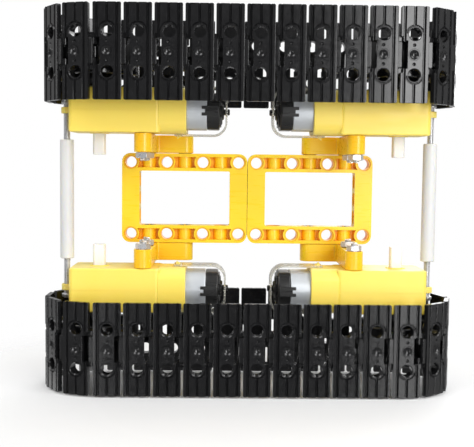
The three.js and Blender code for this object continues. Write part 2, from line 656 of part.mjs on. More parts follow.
// Everything that a corner of the chassis carries, made for the front left one and mirrored.
function addCorner(name, forward, left) {
  const corner = new THREE.Group();
  corner.scale.set(forward, left, 1);
  chassis.add(corner);
  const pinReach = [SIDE_ROW_Y - BEAM_THICKNESS / 2, BRACKET_OUTER_Y];
  const innerPin = [BRACKET_LEG_X - 2 * GRID, DECK_Z];
  const outerPin = [BRACKET_LEG_X, DECK_Z];
  addPiece(corner, `bracket_${name}`, bracket(), beamYellow());
  addPiece(corner, `bracket_pin_${name}_inner`, frictionPin("y", pinReach, innerPin), pinBlack());
  addPiece(corner, `bracket_pin_${name}_outer`, frictionPin("y", pinReach, outerPin), pinBlack());
  addPiece(corner, `gearbox_${name}`, gearboxCasing(), gearboxYellow());
  addPiece(corner, `motor_${name}`, motor(), canSteel());
  addPiece(corner, `motor_strap_${name}`, motorStrap(), strapClear());
  addPiece(corner, `drive_shaft_${name}`, driveShaft(), shaftWhite());
  addPiece(corner, `sprocket_${name}`, sprocket(), trackBlack());
  const [upper, lower] = motorScrewHeights();
  const headY = GEARBOX_OUTER_Y + CONTACT_GAP;
  for (const [level, z] of Object.entries({ upper, lower })) {
    const screw = panHeadScrew([MOTOR_SCREW_X, z], headY, MOTOR_SCREW_LENGTH, PAN_HEAD_RADIUS);
    addPiece(corner, `motor_screw_${name}_${level}`, screw, screwChrome());
    addPiece(corner, `motor_nut_${name}_${level}`, hexNut(MOTOR_SCREW_X, z), screwChrome());
  }
  const tabFaceY = GEARBOX_MID_Y + TAB_THICKNESS / 2 + SPACER_HEAD_GAP;
  const spacerScrew = panHeadScrew([SPACER_X, AXLE_Z], tabFaceY, SPACER_SCREW_LENGTH, SPACER_HEAD_RADIUS);
  addPiece(corner, `spacer_screw_${name}`, spacerScrew, screwChrome());
}

addDeck();
addTracks();
addSpacers();
addCorner("front_left", 1, 1);
addCorner("front_right", 1, -1);
addCorner("rear_left", -1, 1);
addCorner("rear_right", -1, -1);

export default chassis;
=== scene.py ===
"""The finished look of the tracked tank chassis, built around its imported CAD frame.

Shapes are built in millimetres, in the frame of the part (+X forward, +Y left, +Z up), and scaled
to metres when they become pieces. Corner pieces are made for the front left corner and mirrored.
"""

import json
import math

import bmesh
import bpy
from mathutils import Matrix, Vector


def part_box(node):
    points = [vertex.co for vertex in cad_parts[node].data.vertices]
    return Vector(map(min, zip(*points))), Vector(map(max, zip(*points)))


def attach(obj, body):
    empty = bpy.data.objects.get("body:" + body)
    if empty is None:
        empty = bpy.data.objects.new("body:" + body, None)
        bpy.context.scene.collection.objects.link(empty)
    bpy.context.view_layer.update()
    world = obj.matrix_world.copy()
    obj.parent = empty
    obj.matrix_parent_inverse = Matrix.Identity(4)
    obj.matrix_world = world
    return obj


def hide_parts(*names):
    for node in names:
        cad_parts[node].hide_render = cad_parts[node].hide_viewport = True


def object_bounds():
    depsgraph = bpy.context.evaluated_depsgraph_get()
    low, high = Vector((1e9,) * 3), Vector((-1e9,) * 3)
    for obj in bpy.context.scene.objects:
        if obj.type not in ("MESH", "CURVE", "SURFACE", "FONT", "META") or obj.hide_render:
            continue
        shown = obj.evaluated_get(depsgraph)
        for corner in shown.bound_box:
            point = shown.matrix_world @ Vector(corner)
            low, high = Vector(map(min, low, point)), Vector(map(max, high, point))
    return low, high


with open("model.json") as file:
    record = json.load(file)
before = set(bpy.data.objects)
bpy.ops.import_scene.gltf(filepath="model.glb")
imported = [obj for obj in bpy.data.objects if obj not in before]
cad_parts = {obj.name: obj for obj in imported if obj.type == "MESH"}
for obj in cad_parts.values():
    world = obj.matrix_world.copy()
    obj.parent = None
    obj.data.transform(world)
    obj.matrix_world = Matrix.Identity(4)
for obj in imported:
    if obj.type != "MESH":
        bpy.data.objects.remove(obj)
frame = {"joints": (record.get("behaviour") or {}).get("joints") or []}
CAD_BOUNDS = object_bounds()

MM = 0.001
CORNERS = {
    "front_left": (1, 1),
    "front_right": (1, -1),
    "rear_left": (-1, 1),
    "rear_right": (-1, -1),
}


def cad_mm(node):
    """The lowest and highest corners of a CAD node, in millimetres."""
    low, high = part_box(node)
    return low / MM, high / MM


def centre_xz(low, high):
    """The middle of a box in X and Z, where a part along Y has its axis."""
    return ((low.x + high.x) / 2, (low.z + high.z) / 2)


def joint_mm(name):
    """A joint's centre, in millimetres."""
    found = [joint for joint in frame["joints"] if joint["name"] == name]
    return Vector(found[0]["pos_m"]) / MM


# ---------------------------------------------------------------- places read from the frame

AXLE = joint_mm("front_left_drive")
DECK_LOW, DECK_HIGH = cad_mm("deck_frame_front")
BRACKET_LOW, BRACKET_HIGH = cad_mm("bracket_front_left")
GEARBOX_LOW, GEARBOX_HIGH = cad_mm("gearbox_front_left")
MOTOR_LOW, MOTOR_HIGH = cad_mm("motor_front_left")
STRAP_LOW, STRAP_HIGH = cad_mm("motor_strap_front_left")
SHAFT_LOW, SHAFT_HIGH = cad_mm("drive_shaft_front_left")
PIN_LOW, PIN_HIGH = cad_mm("bracket_pin_front_left_inner")

DECK_CENTRE = (DECK_LOW + DECK_HIGH) / 2
MOTOR_AXIS_Y = (MOTOR_LOW.y + MOTOR_HIGH.y) / 2
AXLE_XZ = (AXLE.x, AXLE.z)
MOTOR_YZ = (MOTOR_AXIS_Y, AXLE.z)

# ---------------------------------------------------------------- sizes of the details

GRID = 8.0
HOLE_RADIUS = 2.45
COUNTERBORE_RADIUS = 3.1
COUNTERBORE_DEPTH = 0.9
POCKET_HALF_WIDTH = 2.4
ROUND_STEPS = 32
OVERRUN = 1.0  # how far a cutter or a joined part reaches beyond the face that it goes through

LINK_PITCH = 12.1
LINK_GAP = 0.9
LINK_WIDTH = 38.0
LINK_TREAD = 3.4
LINK_PLATE = 2.0
LINK_HOLE_Y = 8.0
RUN_LINKS = 10
FRONT_LINKS = 6
REAR_LINKS = 5
SPROCKET_TEETH = 10
LINK_STEPS = 28
DIMPLE_X = -0.2
PEG_RADIUS = 0.95
PIVOT_RADIUS = LINK_PITCH / (2 * math.sin(math.pi / SPROCKET_TEETH))

# ---------------------------------------------------------------- mesh helpers


def on_circle(centre, radius, angle):
    """A point on a circle, the angle in radians."""
    return (centre[0] + radius * math.cos(angle), centre[1] + radius * math.sin(angle))


def around(middle, half):
    """A range with its middle and half its length given."""
    return (middle - half, middle + half)


def one_side(side, near, far, middle=0.0):
    """A range to one side of a middle, its lower end first."""
    return sorted((middle + side * near, middle + side * far))


def add_object(name, data):
    obj = bpy.data.objects.new(name, data)
    bpy.context.scene.collection.objects.link(obj)
    return obj


def to_object(name, bm):
    """A bmesh as an object in the scene, with its normals facing out."""
    bmesh.ops.remove_doubles(bm, verts=bm.verts, dist=1e-4)
    bmesh.ops.recalc_face_normals(bm, faces=bm.faces)
    mesh = bpy.data.meshes.new(name)
    bm.to_mesh(mesh)
    bm.free()
    return add_object(name, mesh)


def on_plane(plane, u, v, w):
    """A point with u and v in the named plane and w across it."""
    if plane == "xy":
        return Vector((u, v, w))
    if plane == "xz":
        return Vector((u, w, v))
    return Vector((w, u, v))


def prism(loops, low, high, plane="xy"):
    """A flat plate with holes: closed loops of points, the first one the outline."""
    bm = bmesh.new()
    rings = []
    for loop in loops:
        bottom = [bm.verts.new(on_plane(plane, u, v, low)) for u, v in loop]
        top = [bm.verts.new(on_plane(plane, u, v, high)) for u, v in loop]
        rings.append((bottom, top))
    for side in (0, 1):
        edges = []
        for ring in rings:
            points = ring[side]
            for i, point in enumerate(points):
                edges.append(bm.edges.new((point, points[(i + 1) % len(points)])))
        if len(loops) == 1:
            bm.faces.new(rings[0][side])
        else:
            bmesh.ops.triangle_fill(bm, use_beauty=True, use_dissolve=False, edges=edges)
    for bottom, top in rings:
        for i in range(len(bottom)):
            j = (i + 1) % len(bottom)
            bm.faces.new((bottom[i], bottom[j], top[j], top[i]))
    return to_object("prism", bm)


def box(low, high):
    """A plain block, only ever a cutter or a part of a larger shape."""
    corners = [(low[0], low[1]), (high[0], low[1]), (high[0], high[1]), (low[0], high[1])]
    return prism([corners], low[2], high[2])


def lathe(profile, axis, centre=(0, 0), steps=ROUND_STEPS):
    """A body turned round an axis. The profile is (radius, place along the axis); it starts and
    ends on the axis, or else closes on itself. The centre is the other two coordinates."""
    bm = bmesh.new()
    closed = profile[0][0] > 0
    rings = []
    for radius, along in profile:
        ring = []
        count = steps if radius > 0 else 1
        for i in range(count):
            a, b = on_circle(centre, radius, 2 * math.pi * (i + 0.5) / steps)
            place = {"x": (along, a, b), "y": (a, along, b), "z": (a, b, along)}[axis]
            ring.append(bm.verts.new(place))
        rings.append(ring)
    pairs = list(zip(rings, rings[1:]))
    if closed:
        pairs.append((rings[-1], rings[0]))
    for first, second in pairs:
        for i in range(steps):
            j = (i + 1) % steps
            corners = [first[i % len(first)], first[j % len(first)]]
            corners += [second[j % len(second)], second[i % len(second)]]
            unique = list(dict.fromkeys(corners))
            if len(unique) > 2:
                bm.faces.new(unique)
    return to_object("lathe", bm)


def both_ends(half_profile, low, high):
    """A profile for lathe that is the same from both ends, its places given as depths."""
    near = [(radius, low + depth) for radius, depth in half_profile]
    return near + [(radius, high - depth) for radius, depth in reversed(half_profile)]


def rod(axis, radius, low, high, centre=(0, 0), steps=ROUND_STEPS):
    """A round bar, used as a cutter or joined to a larger shape."""
    return lathe(both_ends([(0, 0), (radius, 0)], low, high), axis, centre, steps)


def apply_modifiers(obj):
    depsgraph = bpy.context.evaluated_depsgraph_get()
    mesh = bpy.data.meshes.new_from_object(obj.evaluated_get(depsgraph))
    obj.modifiers.clear()
    obj.data = mesh


def combine(target, others, operation):
    """Joins or cuts target with the others, which are used up."""
    group = bpy.data.collections.new("operands")
    bpy.context.scene.collection.children.link(group)
    for other in others:
        bpy.context.scene.collection.objects.unlink(other)
        group.objects.link(other)
    modifier = target.modifiers.new("combine", "BOOLEAN")
    modifier.operand_type = "COLLECTION"
    modifier.collection = group
    modifier.operation = operation
    modifier.solver = "EXACT"
    apply_modifiers(target)
    for other in others:
        bpy.data.objects.remove(other)
    bpy.data.collections.remove(group)
    return target


def join(target, *others):
    return combine(target, list(others), "UNION")


def cut(target, *others):
    return combine(target, list(others), "DIFFERENCE")


def common(target, other):
    return combine(target, [other], "INTERSECT")


def soften(obj, width, segments=2, angle=40):
    """Rounds every edge sharper than the angle, as moulded and rolled edges are."""
    bm = bmesh.new()
    bm.from_mesh(obj.data)
    bmesh.ops.remove_doubles(bm, verts=bm.verts, dist=1e-3)
    bmesh.ops.dissolve_limit(bm, angle_limit=math.radians(1), verts=bm.verts, edges=bm.edges)
    bm.to_mesh(obj.data)
    bm.free()
    modifier = obj.modifiers.new("soften", "BEVEL")
    modifier.width = width
    modifier.segments = segments
    modifier.limit_method = "ANGLE"
    modifier.angle_limit = math.radians(angle)
    modifier.use_clamp_overlap = True
    apply_modifiers(obj)
    return obj


def smooth(obj, angle=38):
    """Smooth shading that stays crisp at real edges and flat on flat faces."""
    obj.data.shade_smooth()
    obj.data.set_sharp_from_angle(angle=math.radians(angle))
    modifier = obj.modifiers.new("flat faces", "WEIGHTED_NORMAL")
    modifier.keep_sharp = True


def arc(centre, radius, start, end, steps=8):
    """Points along an arc, angles in degrees."""
    points = []
    for i in range(steps + 1):
        angle = math.radians(start + (end - start) * i / steps)
        points.append(on_circle(centre, radius, angle))
    return points


def circle(centre, radius, steps=ROUND_STEPS):
    return arc(centre, radius, 0, 360, steps)[:-1]


def rounded_rectangle(low, high, radius, steps=6):
    points = []
    points += arc((high[0] - radius, low[1] + radius), radius, -90, 0, steps)
    points += arc((high[0] - radius, high[1] - radius), radius, 0, 90, steps)
    points += arc((low[0] + radius, high[1] - radius), radius, 90, 180, steps)
    points += arc((low[0] + radius, low[1] + radius), radius, 180, 270, steps)
    return points


# ---------------------------------------------------------------- placing pieces


def finish_piece(obj, name, body, material, nodes=()):
    """Names a piece, rides it on its body and gives it its finish."""
    obj.name = name
    obj.data.name = name
    obj.data.materials.clear()
    obj.data.materials.append(material)
    smooth(obj)
    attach(obj, body)
    if nodes:
        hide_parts(*nodes)


def placed_copy(master, matrix):
    """A copy of a millimetre master, moved in millimetres and scaled to metres in its mesh."""
    mesh = master.data.copy()
    mesh.transform(Matrix.Scale(MM, 4) @ matrix)
    if matrix.determinant() < 0:
        mesh.flip_normals()
    return add_object(master.name, mesh)


def corner_pieces(master, name, material, body="chassis", node=None):
    """Puts a front left master at all four corners. {} in a name stands for the corner."""
    for corner, (forward, left) in CORNERS.items():
        copy = placed_copy(master, Matrix.Diagonal((forward, left, 1, 1)))
        nodes = [node.format(corner)] if node else []
        finish_piece(copy, name.format(corner), body.format(corner), material, nodes)
    bpy.data.objects.remove(master)


# ---------------------------------------------------------------- materials


def feed(tree, value, socket):
    """Links a socket to another node's output, or sets it. A colour gets its fourth channel."""
    if isinstance(value, bpy.types.NodeSocket):
        tree.links.new(value, socket)
    elif socket.type == "RGBA":
        socket.default_value = (*value, 1)
    else:
        socket.default_value = value


def add_node(tree, kind, inputs, output=0, **options):
    """Adds a node with its inputs and options, and returns one of its outputs."""
    node = tree.nodes.new("ShaderNode" + kind)
    for option, value in options.items():
        setattr(node, option, value)
    for name, value in inputs.items():
        feed(tree, value, node.inputs[name])
    return node.outputs[output]


def node_material(name):
    material = bpy.data.materials.new(name)
    material.use_nodes = True
    return material, material.node_tree


def set_surface(tree, inputs):
    """Gives the material's own shader these inputs."""
    for name, value in inputs.items():
        feed(tree, value, tree.nodes["Principled BSDF"].inputs[name])


def add_noise(tree, scale, detail=3.0, stretch=(1, 1, 1)):
    """Noise in the piece's own coordinates, which are metres."""
    coords = add_node(tree, "TexCoord", {}, "Object")
    place = add_node(tree, "Mapping", {"Vector": coords, "Scale": stretch})
    return add_node(tree, "TexNoise", {"Vector": place, "Scale": scale, "Detail": detail}, "Fac")


def ramp(tree, value, low, high, from_low=0.3, from_high=0.7):
    """Maps a value onto a range."""
    limits = {"From Min": from_low, "From Max": from_high, "To Min": low, "To Max": high}
    return add_node(tree, "MapRange", {"Value": value, **limits}, "Result")


def mix_colour(tree, share, first, second):
    """A mix of two colours, which are inputs 6 and 7 and output 2 of this kind of node."""
    return add_node(tree, "Mix", {0: share, 6: first, 7: second}, 2, data_type="RGBA")


def add_bump(tree, height, distance, strength, below=None):
    """Bumps in the surface, on top of the bumps below if there are any."""
    inputs = {"Height": height, "Distance": distance, "Strength": strength}
    if below:
        inputs["Normal"] = below
    return add_node(tree, "Bump", inputs, "Normal")


def moulded_plastic(name, colour, shade, roughness, subsurface=0.0, recess=None, coat=0.0):
    """Injection-moulded plastic: soft flow marks in the colour, fine skin and faint rub marks.
    The recess colour, if any, is painted shade: it deepens the colour where nearby walls hem a
    surface in, as the shade and bounced light between walls would."""
    material, tree = node_material(name)
    flow = ramp(tree, add_noise(tree, 90, 2.0, (1, 0.35, 1)), 0.0, 1.0)
    base = mix_colour(tree, flow, colour, shade)
    if recess:
        # Painted shade: the colour turns towards the recess colour where ambient occlusion finds
        # walls within 2 cm.
        hollow = add_node(tree, "AmbientOcclusion", {"Distance": 0.02}, "AO", samples=6)
        base = mix_colour(tree, ramp(tree, hollow, 0.9, 0.0, 0.25, 0.85), base, recess)
    rubs = add_noise(tree, 700, 4.0, (0.12, 1, 1))
    skin = add_bump(tree, add_noise(tree, 1500, 2.0), 0.00003, 0.25)
    surface = {
        "Base Color": base,
        "Roughness": ramp(tree, rubs, roughness * 0.8, roughness * 1.25),
        "Normal": add_bump(tree, add_noise(tree, 160, 1.0), 0.0002, 0.12, skin),
        "Subsurface Weight": subsurface,
        "Subsurface Radius": (1.0, 0.6, 0.15),
        "Subsurface Scale": 0.0015,
        "Coat Weight": coat,
        "Coat Roughness": 0.12,
    }
    set_surface(tree, surface)
    return material


def track_plastic():
    """Black link plastic: glossy, with slight sink marks, rub marks and light dust. Each link is
    a little different in shade."""
    material, tree = node_material("track plastic")
    dust = ramp(tree, add_noise(tree, 260, 5.0), 0.0, 0.35, 0.5, 0.75)
    base = mix_colour(tree, dust, (0.0075, 0.0075, 0.008), (0.018, 0.018, 0.019))
    share = ramp(tree, add_node(tree, "ObjectInfo", {}, "Random"), 0.0, 0.3, 0, 1)
    skin = add_bump(tree, add_noise(tree, 1300, 2.0), 0.00002, 0.12)
    surface = {
        "Base Color": mix_colour(tree, share, base, (0.014, 0.014, 0.015)),
        "Roughness": ramp(tree, add_noise(tree, 500), 0.15, 0.2),
        "Normal": add_bump(tree, add_noise(tree, 130, 1.0), 0.0001, 0.1, skin),
    }
    set_surface(tree, surface)
    return material


def plated_steel(name, colour, roughness, stretch, strength, metallic):
    """Plated metal: fine drawing or turning marks, faint tarnish and fingerprint blotches."""
    material, tree = node_material(name)
    tarnish = ramp(tree, add_noise(tree, 160, 4.0), 0.0, 0.5)
    dull = tuple(channel * 0.85 for channel in colour)
    marks = add_noise(tree, 1200, 3.0, stretch)
    surface = {
        "Base Color": mix_colour(tree, tarnish, colour, dull),
        "Metallic": metallic,
        "Roughness": ramp(tree, marks, roughness * 0.85, roughness * 1.2),
        "Normal": add_bump(tree, marks, 0.00002, strength),
    }
    set_surface(tree, surface)
    return material


def clear_plastic():
    """The motor strap: clear, slightly milky sheet with fine scratches."""
    material, tree = node_material("clear strap")
    milk = ramp(tree, add_noise(tree, 300), 0.0, 0.5)
    scratches = add_noise(tree, 900, 3.0, (0.2, 1, 1))
    surface = {
        "Base Color": mix_colour(tree, milk, (0.95, 0.94, 0.87), (0.88, 0.85, 0.72)),
        "Transmission Weight": 0.8,
        "IOR": 1.46,
        "Roughness": ramp(tree, scratches, 0.08, 0.28),
        "Normal": add_bump(tree, scratches, 0.00003, 0.2),
    }
    set_surface(tree, surface)
    return material


# For the beam and the gearbox, the colour after the subsurface weight is painted shade: deeper, more
# orange yellow laid into their recesses.
BEAM = moulded_plastic(
    "beam yellow", (0.98, 0.69, 0.02), (0.96, 0.65, 0.014), 0.3, 0.1, (0.95, 0.43, 0.005), 0.1
)
GEARBOX = moulded_plastic(
    "gearbox yellow", (0.93, 0.78, 0.23), (0.92, 0.75, 0.18), 0.38, 0.12, (0.9, 0.66, 0.07)
)
TRACK = track_plastic()
PIN = moulded_plastic("pin black", (0.012, 0.012, 0.013), (0.02, 0.02, 0.02), 0.32)
CAP = moulded_plastic("cap black", (0.01, 0.01, 0.01), (0.018, 0.018, 0.018), 0.3)
SHAFT = moulded_plastic("shaft white", (0.82, 0.8, 0.76), (0.78, 0.76, 0.71), 0.4, 0.25)
SPACER = moulded_plastic("spacer white", (0.66, 0.66, 0.645), (0.62, 0.62, 0.61), 0.45, 0.2)
CAN = plated_steel("can steel", (0.62, 0.65, 0.68), 0.4, (1, 0.3, 0.3), 0.06, 0.55)
CHROME = plated_steel("screw chrome", (0.7, 0.7, 0.71), 0.3, (1, 1, 1), 0.06, 0.8)
STRAP = clear_plastic()

# ---------------------------------------------------------------- deck


def bored_hole(axis, low, high, centre, lead=0.0):
    """Cutter for a round hole with a shallow wider mouth at both ends. With a lead-in, each mouth
    also has a chamfer at its face."""
    profile = [(0, -OVERRUN), (COUNTERBORE_RADIUS, -OVERRUN)]
    if lead:
        flare = COUNTERBORE_RADIUS + 2 * lead
        profile = [(0, -lead), (flare, -lead), (COUNTERBORE_RADIUS, lead)]
    profile += [(COUNTERBORE_RADIUS, COUNTERBORE_DEPTH), (HOLE_RADIUS, COUNTERBORE_DEPTH)]
    return lathe(both_ends(profile, low, high), axis, centre)


def deck_pocket(x, y, face, half_z):
    """Cutter for the pocket between two upright holes, as far as the web in the middle."""
    half_length = 5.2
    half_web = 0.5
    ring_radius = 3.75
    low, high = one_side(face, half_web, half_z + OVERRUN)
    pocket_low = (x - half_length, y - POCKET_HALF_WIDTH, low)
    pocket_high = (x + half_length, y + POCKET_HALF_WIDTH, high)
    rings = []
    for step in (-1, 1):
        place = (x + step * GRID, y)
        rings.append(rod("z", ring_radius, low - OVERRUN, high + OVERRUN, place))
    return cut(box(pocket_low, pocket_high), *rings)


def build_deck_frame():
    """One five by seven frame about its own centre: bored holes through all four sides, pockets
    between the upright holes, and bosses in the pockets round the holes across."""
    half_x, half_y, half_z = (DECK_HIGH - DECK_LOW) / 2
    beam = 2 * half_z
    row = 2 * GRID
    boss_radius = 3.15
    boss_half = POCKET_HALF_WIDTH + 0.2
    corner_radius = 3.7
    window_radius = 0.7
    outline = rounded_rectangle((-half_x, -half_y), (half_x, half_y), corner_radius)
    window_low = (beam - half_x, beam - half_y)
    window_high = (half_x - beam, half_y - beam)
    window = rounded_rectangle(window_low, window_high, window_radius, 3)
    plate = prism([outline, window], -half_z, half_z)
    pockets = []
    bosses = []
    holes = []
    for side in (-1, 1):
        y = side * row
        for column in (-2, 0, 2):
            x = column * GRID
            pockets += [deck_pocket(x, y, face, half_z) for face in (-1, 1)]
            bosses.append(rod("y", boss_radius, *around(y, boss_half), (x, 0)))
            holes.append(bored_hole("y", *one_side(side, half_y - beam, half_y), (x, 0)))
        for column in (-3, -1, 1, 3):
            holes.append(bored_hole("z", -half_z, half_z, (column * GRID, y)))
        for line in (-1, 0, 1):
            holes.append(bored_hole("x", *one_side(side, half_x - beam, half_x), (line * GRID, 0)))
    cut(plate, *pockets)
    join(plate, *bosses)
    cut(plate, *holes)
    return soften(plate, 0.22)


def build_deck():
    master = build_deck_frame()
    for end, turn in (("front", 1), ("rear", -1)):
        place = Vector((turn * DECK_CENTRE.x, 0, DECK_CENTRE.z))
        copy = placed_copy(master, Matrix.Translation(place))
        name = f"deck_beam_frame_{end}"
        finish_piece(copy, name, "chassis", BEAM, [f"deck_frame_{end}"])
    bpy.data.objects.remove(master)


def build_pin(length):
    """A split friction pin along X about its collar: bored, slotted ends with a snap lip."""
    half = length / 2
    bore, neck, lip, body, collar = 1.25, 2.15, 2.42, 2.28, 2.95
    shoulder = half - 0.85
    slot_depth = 4
    slot_half_width = 0.45
    profile = [(bore, 0), (neck, 0), (lip, 0.35), (lip, 0.8), (body, 1.1)]
    profile += [(body, shoulder), (collar, shoulder)]
    pin = lathe(both_ends(profile, -half, half), "x")
    slots = []
    for side in (-1, 1):
        low, high = one_side(side, half - slot_depth, half + OVERRUN)
        slots.append(box((low, -slot_half_width, -collar), (high, slot_half_width, collar)))
    return soften(cut(pin, *slots), 0.1, 1)


def build_pins():
    """Three pins between the deck frames, of which the CAD has no middle one, and two through each
    bracket."""
    master = build_pin(PIN_HIGH.y - PIN_LOW.y)
    places = {}
    for name, line in (("left", 1), ("centre", 0), ("right", -1)):
        places[f"deck_{name}"] = Matrix.Translation((0, line * GRID, DECK_CENTRE.z))
    across = Matrix.Rotation(math.radians(90), 4, "Z")
    for corner in CORNERS:
        for which in ("inner", "outer"):
            low, high = cad_mm(f"bracket_pin_{corner}_{which}")
            places[f"{corner}_{which}"] = Matrix.Translation((low + high) / 2) @ across
    for name, place in places.items():
        nodes = ["bracket_pin_" + name]
        if name.startswith("deck"):
            nodes = [] if name == "deck_centre" else [name.replace("deck", "deck_pin")]
        copy = placed_copy(master, place)
        finish_piece(copy, "split_pin_" + name, "chassis", PIN, nodes)
    bpy.data.objects.remove(master)


def build_bracket():
    """The L bracket at the front left corner, five holes down and three inwards."""
    half = (BRACKET_HIGH.z - BRACKET_LOW.z - 4 * GRID) / 2
    leg_x = BRACKET_HIGH.x - half
    top_z = BRACKET_HIGH.z - half
    end_x = leg_x - 2 * GRID
    foot_z = top_z - 4 * GRID
    inner = 1.2
    corner = (leg_x - half - inner, top_z - half - inner)
    outline = arc((leg_x, foot_z), half, -180, 0, 16)
    outline += arc((leg_x, top_z), half, 0, 90, 8)
    outline += arc((end_x, top_z), half, 90, 270, 16)
    outline += arc(corner, inner, 90, 0, 4)
    body = soften(prism([outline], BRACKET_LOW.y, BRACKET_HIGH.y, "xz"), 0.3, 3)
    places = [(leg_x, top_z - i * GRID) for i in range(5)]
    places += [(leg_x - i * GRID, top_z) for i in (1, 2)]
    lead = 0.2
    for place in places:
        cut(body, bored_hole("y", BRACKET_LOW.y, BRACKET_HIGH.y, place, lead))
    return body


def build_brackets():
    corner_pieces(build_bracket(), "beam_bracket_{}", BEAM, node="bracket_{}")


# ---------------------------------------------------------------- gearmotor

CAN_RADIUS = 10.05
CAN_FLAT = 7.55
CASING_HALF = 9.2
CASING_END_X = AXLE.x + 11.3
TAB_HOLE = (AXLE.x + 13.65, AXLE.z)
SLEEVE_START_X = AXLE.x - 25.2
SLEEVE_END_X = SLEEVE_START_X - 11.7
CAN_END_X = SLEEVE_END_X - 8.4
CAP_END_X = CAN_END_X - 5.2


def can_outline(radius, flat, steps=14):
    """The motor's section in Y and Z: round, with a flat on each side."""
    limit = math.degrees(math.acos(flat / radius))
    points = arc(MOTOR_YZ, radius, limit, 180 - limit, steps)
    return points + arc(MOTOR_YZ, radius, 180 + limit, 360 - limit, steps)


def motor_block(x_range, half_y, z_range, beside=0.0):
    """A block with its middle in Y on the motor's axis, or that far beside it."""
    low_y, high_y = around(MOTOR_AXIS_Y + beside, half_y)
    return box((x_range[0], low_y, z_range[0]), (x_range[1], high_y, z_range[1]))


def casing_shell():
    """The outside of the gearbox: the main block, the barrel-shaped sleeve round the motor, the
    end tab, the collars round the shaft and the hooks for the strap."""
    low_z, high_z = GEARBOX_LOW.z, GEARBOX_HIGH.z
    main_outline = rounded_rectangle((SLEEVE_START_X - OVERRUN, low_z), (CASING_END_X, high_z), 1.8)
    main = prism([main_outline], *around(MOTOR_AXIS_Y, CASING_HALF), "xz")
    soften(main, 0.7, 4)
    barrel = 5.0
    sleeve_outline = rounded_rectangle((GEARBOX_LOW.y, low_z), (GEARBOX_HIGH.y, high_z), barrel, 10)
    sleeve = prism([sleeve_outline], SLEEVE_END_X, SLEEVE_START_X, "yz")
    soften(sleeve, 0.45, 3)
    tab_half = 2.5
    tab_half_thickness = 1.3
    tab_root = CASING_END_X - 1.5
    tab_outline = [(tab_root, AXLE.z + tab_half), (tab_root, AXLE.z - tab_half)]
    tab_outline += arc((TAB_HOLE[0] - 0.15, TAB_HOLE[1]), tab_half, -90, 90, 12)
    tab = prism([tab_outline], *around(MOTOR_AXIS_Y, tab_half_thickness), "xz")
    soften(tab, 0.25)
    collar_radius = 4.1
    hook_half_width = 1.8
    collars = []
    hooks = []
    for side in (-1, 1):
        reach = one_side(side, CASING_HALF - 0.5, CASING_HALF + 0.35, MOTOR_AXIS_Y)
        collars.append(rod("y", collar_radius, *reach, AXLE_XZ, 48))
        face = MOTOR_AXIS_Y + side * 9.4
        wedge = [
            (SLEEVE_END_X + along, face + side * out)
            for along, out in ((2.2, -0.5), (2.2, 0.5), (4.2, 1.9), (4.2, -0.5))
        ]
        hooks.append(prism([wedge], *around(AXLE.z, hook_half_width)))
    return join(main, sleeve, tab, *collars, *hooks)


def build_gearbox():
    """The gearbox casing: hollow, with a parting groove between its two moulded halves, and real
    holes for the shaft, the screws and the motor."""
    casing = casing_shell()
    low_z, high_z = GEARBOX_LOW.z, GEARBOX_HIGH.z
    wall = 1.6
    fit = 0.25
    shaft_hole = 3.0
    nose_hole = 3.4
    screw_hole = 1.6
    cavity_reach = (AXLE.x - 14, CASING_END_X - wall)
    cavity = motor_block(cavity_reach, CASING_HALF - wall, (low_z + wall, high_z - wall))
    across = (GEARBOX_LOW.y - 2 * OVERRUN, GEARBOX_HIGH.y + 2 * OVERRUN)
    motor_bore = can_outline(CAN_RADIUS + fit, CAN_FLAT + fit)
    cutters = [
        cavity,
        rod("y", shaft_hole, *across, AXLE_XZ),
        rod("x", nose_hole, SLEEVE_START_X - OVERRUN, AXLE.x - 10, MOTOR_YZ),
        prism([motor_bore], SLEEVE_END_X - OVERRUN, SLEEVE_START_X, "yz"),
        rod("y", screw_hole, *across, TAB_HOLE, 24),
    ]
    for level in ("upper", "lower"):
        centre = centre_xz(*cad_mm(f"motor_screw_front_left_{level}"))
        cutters.append(rod("y", screw_hole, *across, centre, 24))
    cut(casing, *cutters)
    groove_half = 0.05
    groove_depth = 0.12
    parting_reach = (SLEEVE_START_X + 0.3, CASING_END_X + OVERRUN)
    parting = motor_block(parting_reach, groove_half, (low_z - OVERRUN, high_z + OVERRUN))
    keep_reach = (SLEEVE_START_X - OVERRUN, CASING_END_X - groove_depth)
    keep = motor_block(keep_reach, OVERRUN, (low_z + groove_depth, high_z - groove_depth))
    cut(casing, cut(parting, keep))
    return soften(casing, 0.12, 1, 60)


def build_motor_can():
    """The rolled steel can, with rounded rims, a seam on both round sides, and the nose and shaft
    that reach into the gearbox."""
    can = prism([can_outline(CAN_RADIUS, CAN_FLAT)], CAN_END_X, SLEEVE_START_X - 0.1, "yz")
    soften(can, 0.5, 3)
    seam_half = 0.1
    seam_depth = 0.15
    seams = []
    for side in (-1, 1):
        z_range = around(AXLE.z + side * CAN_RADIUS, seam_depth)
        seams.append(motor_block((CAN_END_X - OVERRUN, SLEEVE_START_X), seam_half, z_range))
    cut(can, *seams)
    nose, shaft = 3.0, 1.0
    start = SLEEVE_START_X
    end = AXLE.x - 16
    profile = [(0, start - 0.6), (nose, start - 0.6), (nose, start + 1.2), (nose - 0.3, start + 1.5)]
    profile += [(shaft, start + 1.5), (shaft, end - 0.1), (shaft - 0.15, end), (0, end)]
    return join(can, lathe(profile, "x", MOTOR_YZ))


